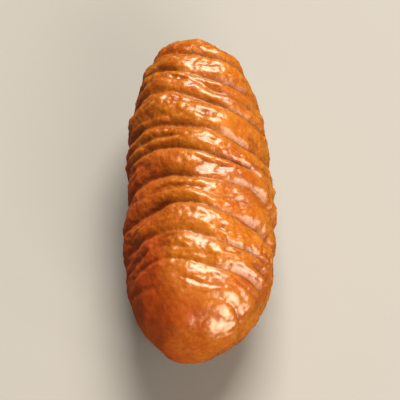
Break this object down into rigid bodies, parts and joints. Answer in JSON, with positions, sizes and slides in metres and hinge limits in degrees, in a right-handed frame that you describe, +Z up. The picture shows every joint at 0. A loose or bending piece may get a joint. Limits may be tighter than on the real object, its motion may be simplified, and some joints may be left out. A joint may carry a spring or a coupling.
{
  "type": "zainab finger pastry",
  "caption": "Small spindle-shaped fried semolina pastry with pressed cross ridges, glazed in syrup, to be served or eaten by hand.",
  "frame": {"origin": "under the middle of the pastry, on the small flat that it rests on", "axes": "+Z up, long axis along Y with the plump tip at -Y and the tapered tip at +Y"},
  "size_m": [0.0244, 0.0592, 0.022],
  "materials": {
    "glazed_crust": "golden brown fried semolina dough under a glossy amber syrup; gloss plastic stands in for it"
  },
  "bodies": {
    "root": {"finger": "glazed_crust"}
  },
  "joints": []
}
